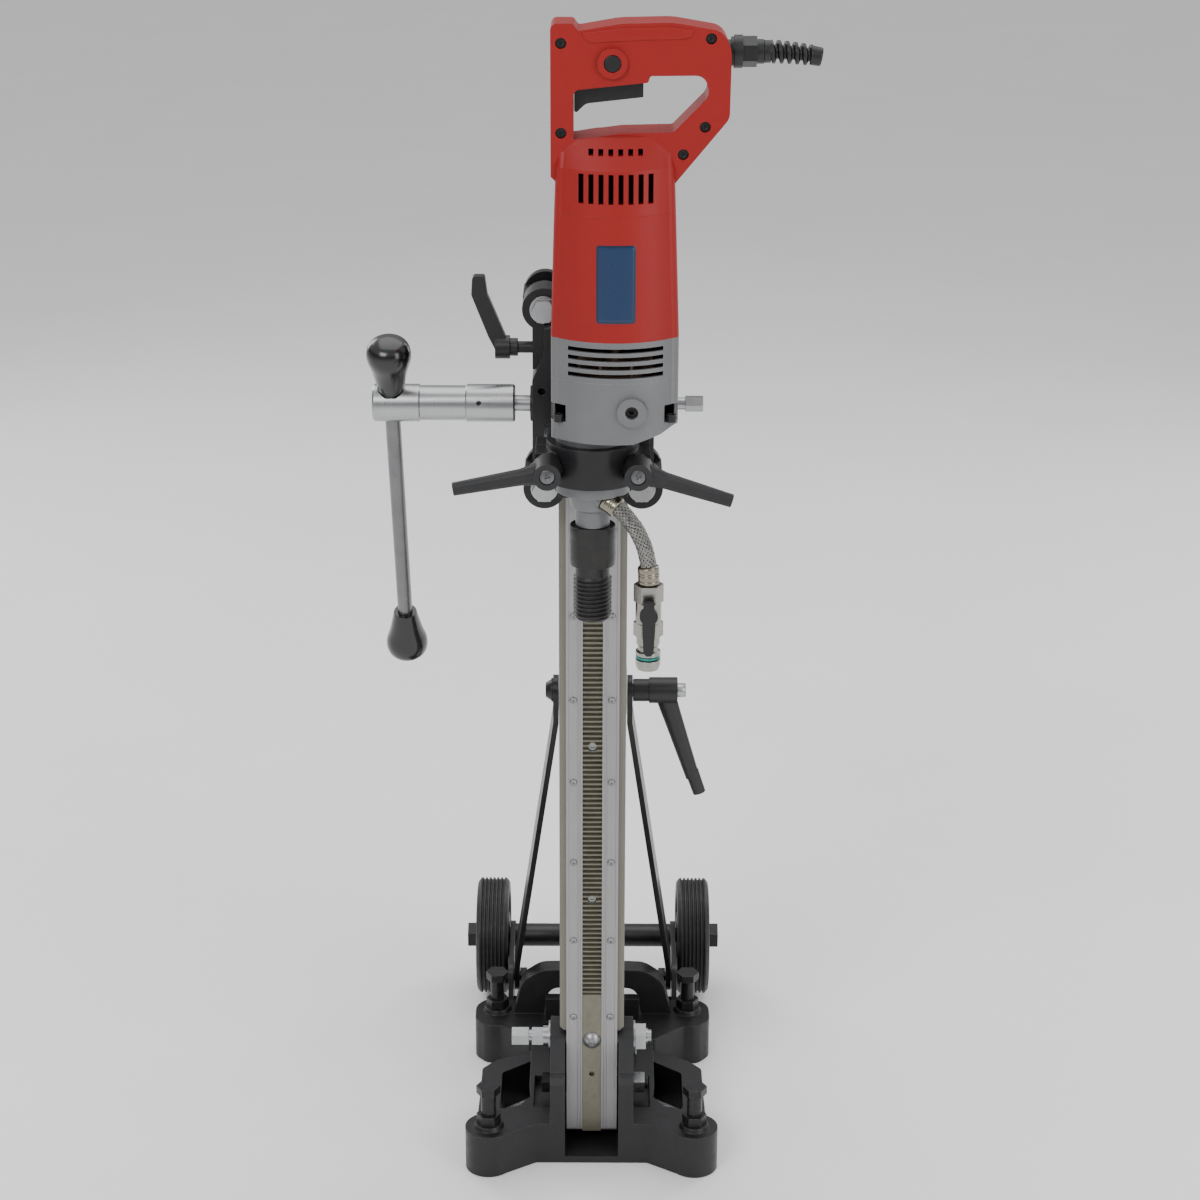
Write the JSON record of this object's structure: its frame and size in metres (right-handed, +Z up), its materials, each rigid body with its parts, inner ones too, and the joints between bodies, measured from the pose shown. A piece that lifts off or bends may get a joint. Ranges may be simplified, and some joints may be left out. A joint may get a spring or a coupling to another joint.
{
  "type": "core drill rig",
  "caption": "Core drill on a tilting column stand with wheels: a D-handle motor on a rack-fed carriage, threaded spindle, water swivel with hose and valve, and a levelling base.",
  "frame": {"origin": "on the floor that the base rests on, on the centre plane, straight below the front face of the column's guide strips", "axes": "+X to the operator's right, +Y to the rear, towards the wheels, +Z up along the column"},
  "size_m": [0.3646, 0.5317, 1.0719],
  "materials": {
    "base_casting": "black powder coat, fine texture",
    "carriage_casting": "black anodised and painted casting",
    "black_steel": "black oxide",
    "brace_steel": "black powder coat",
    "zinc_steel": "bright zinc",
    "ground_steel": "ground",
    "column_aluminium": "mill anodised",
    "rail_steel": "drawn",
    "rack_steel": "milled, dull plated",
    "hub_aluminium": "turned",
    "knob_plastic": "moulded, satin gloss",
    "wheel_rubber": "ribbed tread",
    "red_shell": "moulded, fine texture",
    "grey_casting": "painted grey",
    "black_plastic": "moulded",
    "black_phosphate": "phosphated, oily",
    "braid": "stainless braid",
    "nickel": "nickel plated brass",
    "copper_iron": "laminations and windings"
  },
  "bodies": {
    "base": {"base_frame": "base_casting", "leveling_jam_nuts": "black_steel", "wheel_brackets": "brace_steel", "wheel_axle": "brace_steel", "hex_bolts": "black_steel"},
    "level_fl": {"leveling_screw_fl": "black_steel"},
    "level_fr": {"leveling_screw_fr": "black_steel"},
    "level_rl": {"leveling_screw_rl": "black_steel"},
    "level_rr": {"leveling_screw_rr": "black_steel"},
    "wheel_l": {"wheel_left": "wheel_rubber"},
    "wheel_r": {"wheel_right": "wheel_rubber"},
    "brace": {"brace_struts": "brace_steel", "brace_screw": "black_steel"},
    "brace_clamp": {"brace_lever": "black_plastic"},
    "slider": {"brace_slider": "carriage_casting"},
    "column": {"column_extrusion": "column_aluminium", "rail_strips": "rail_steel", "gear_rack": "rack_steel", "column_screws": "zinc_steel", "column_cap": "black_plastic", "tilt_pivot_pin": "zinc_steel", "tilt_lock_bolt": "black_steel", "tilt_nuts": "zinc_steel"},
    "carriage": {"carriage_body": "carriage_casting", "roller_bolts": "zinc_steel", "clamp_front_jaw": "carriage_casting", "clamp_studs": "zinc_steel", "gear_housing": "grey_casting", "gearbox_plug": "black_steel", "vent_ring": "grey_casting", "motor_housing": "red_shell", "handle_front": "red_shell", "handle_rear": "red_shell", "body_screws": "black_steel", "cable_gland": "black_plastic", "bend_protector": "black_plastic", "motor_stator": "copper_iron", "hose": "braid", "hose_ferrules": "nickel", "water_swivel": "grey_casting", "valve_body": "nickel", "valve_nipple": "nickel"},
    "roller_tl": {"guide_roller_tl": "black_plastic"},
    "roller_tr": {"guide_roller_tr": "black_plastic"},
    "roller_ll": {"guide_roller_ll": "black_plastic"},
    "roller_lr": {"guide_roller_lr": "black_plastic"},
    "clamp_r": {"clamp_lever_right": "black_plastic"},
    "clamp_l": {"clamp_lever_left": "black_plastic"},
    "lock_lever": {"carriage_lock_lever": "black_plastic"},
    "feed": {"feed_shaft": "ground_steel", "crank_hub": "hub_aluminium"},
    "crank_bar": {"crank_rod": "ground_steel", "crank_knobs": "knob_plastic"},
    "spindle_set": {"spindle": "ground_steel", "core_adapter": "black_phosphate"},
    "armature_set": {"armature": "copper_iron"},
    "lay_set": {"layshaft": "ground_steel"},
    "trigger_set": {"trigger": "black_plastic"},
    "button_set": {"lock_button": "black_plastic"},
    "valve_handle": {"valve_lever": "black_plastic"}
  },
  "joints": [
    {"name": "column_tilt", "type": "hinge", "parent": "base", "child": "column", "pos_m": [0, 0.03, 0.102], "axis": [-1, 0, 0], "range_deg": [0, 45]},
    {"name": "brace_swing", "type": "hinge", "parent": "base", "child": "brace", "pos_m": [0, 0.235, 0.053], "axis": [-1, 0, 0], "range_deg": [0, 49.5]},
    {"name": "brace_slide", "type": "slide", "parent": "column", "child": "slider", "axis": [0, 0, 1], "range_m": [0, 0.172]},
    {"name": "brace_clamp_turn", "type": "hinge", "parent": "brace", "child": "brace_clamp", "pos_m": [0.06, 0.075, 0.439], "axis": [1, 0, 0], "range_deg": [0, 60]},
    {"name": "carriage_slide", "type": "slide", "parent": "column", "child": "carriage", "axis": [0, 0, 1], "range_m": [-0.43, 0.08]},
    {"name": "feed_turn", "type": "hinge", "parent": "carriage", "child": "feed", "pos_m": [0, -0.0171, 0.739], "axis": [1, 0, 0], "range_deg": [-256, 1370]},
    {"name": "crank_bar_slide", "type": "slide", "parent": "feed", "child": "crank_bar", "axis": [0, 0.3584, -0.9336], "range_m": [-0.215, 0]},
    {"name": "roller_tl_turn", "type": "hinge", "parent": "carriage", "child": "roller_tl", "pos_m": [-0.0415, 0.023, 0.821], "axis": [0, 1, 0], "range_deg": [-2164, 405]},
    {"name": "roller_tr_turn", "type": "hinge", "parent": "carriage", "child": "roller_tr", "pos_m": [0.0415, 0.023, 0.821], "axis": [0, 1, 0], "range_deg": [-405, 2164]},
    {"name": "roller_ll_turn", "type": "hinge", "parent": "carriage", "child": "roller_ll", "pos_m": [-0.0415, 0.023, 0.665], "axis": [0, 1, 0], "range_deg": [-2164, 405]},
    {"name": "roller_lr_turn", "type": "hinge", "parent": "carriage", "child": "roller_lr", "pos_m": [0.0415, 0.023, 0.665], "axis": [0, 1, 0], "range_deg": [-405, 2164]},
    {"name": "clamp_lever_left_turn", "type": "hinge", "parent": "carriage", "child": "clamp_l", "pos_m": [-0.036, -0.158, 0.7225], "axis": [0, -1, 0], "range_deg": [0, 50]},
    {"name": "clamp_lever_right_turn", "type": "hinge", "parent": "carriage", "child": "clamp_r", "pos_m": [0.036, -0.158, 0.7225], "axis": [0, -1, 0], "range_deg": [0, 35]},
    {"name": "carriage_lock_turn", "type": "hinge", "parent": "carriage", "child": "lock_lever", "pos_m": [-0.07, 0.012, 0.78], "axis": [1, 0, 0], "range_deg": [0, 50]},
    {"name": "spindle_spin", "type": "hinge", "parent": "carriage", "child": "spindle_set", "pos_m": [0, -0.12, 0.7], "axis": [0, 0, 1], "continuous": true},
    {"name": "armature_spin", "type": "hinge", "parent": "carriage", "child": "armature_set", "pos_m": [0.0172, -0.12, 0.85], "axis": [0, 0, 1], "continuous": true},
    {"name": "layshaft_spin", "type": "hinge", "parent": "carriage", "child": "lay_set", "pos_m": [0.0086, -0.09867, 0.76], "axis": [0, 0, 1], "continuous": true},
    {"name": "trigger_press", "type": "slide", "parent": "carriage", "child": "trigger_set", "axis": [0, 0, 1], "range_m": [0, 0.006], "stiffness_N_per_m": 900, "springref_m": -0.003},
    {"name": "button_press", "type": "slide", "parent": "carriage", "child": "button_set", "axis": [0, 1, 0], "range_m": [0, 0.0025], "stiffness_N_per_m": 900, "springref_m": -0.001},
    {"name": "valve_turn", "type": "hinge", "parent": "carriage", "child": "valve_handle", "pos_m": [0.0456, -0.169, 0.605], "axis": [0, -1, 0], "range_deg": [0, 90]},
    {"name": "wheel_left_turn", "type": "hinge", "parent": "base", "child": "wheel_l", "pos_m": [-0.104, 0.3, 0.066], "axis": [1, 0, 0], "continuous": true},
    {"name": "wheel_right_turn", "type": "hinge", "parent": "base", "child": "wheel_r", "pos_m": [0.104, 0.3, 0.066], "axis": [1, 0, 0], "continuous": true},
    {"name": "level_fl_move", "type": "slide", "parent": "base", "child": "level_fl", "axis": [0, 0, -1], "range_m": [0, 0.02]},
    {"name": "level_fr_move", "type": "slide", "parent": "base", "child": "level_fr", "axis": [0, 0, -1], "range_m": [0, 0.02]},
    {"name": "level_rl_move", "type": "slide", "parent": "base", "child": "level_rl", "axis": [0, 0, -1], "range_m": [0, 0.02]},
    {"name": "level_rr_move", "type": "slide", "parent": "base", "child": "level_rr", "axis": [0, 0, -1], "range_m": [0, 0.02]}
  ],
  "couplings": [
    {"joint": "brace_swing", "follows": "column_tilt", "ratio": 1.0827},
    {"joint": "brace_slide", "follows": "column_tilt", "m_per_rad": 0.21503},
    {"joint": "feed_turn", "follows": "carriage_slide", "rad_per_m": -55.556},
    {"joint": "roller_tl_turn", "follows": "carriage_slide", "rad_per_m": 87.719},
    {"joint": "roller_tr_turn", "follows": "carriage_slide", "rad_per_m": -87.719},
    {"joint": "roller_ll_turn", "follows": "carriage_slide", "rad_per_m": 87.719},
    {"joint": "roller_lr_turn", "follows": "carriage_slide", "rad_per_m": -87.719},
    {"joint": "armature_spin", "follows": "spindle_spin", "ratio": 8.0278},
    {"joint": "layshaft_spin", "follows": "spindle_spin", "ratio": -2.8333}
  ]
}
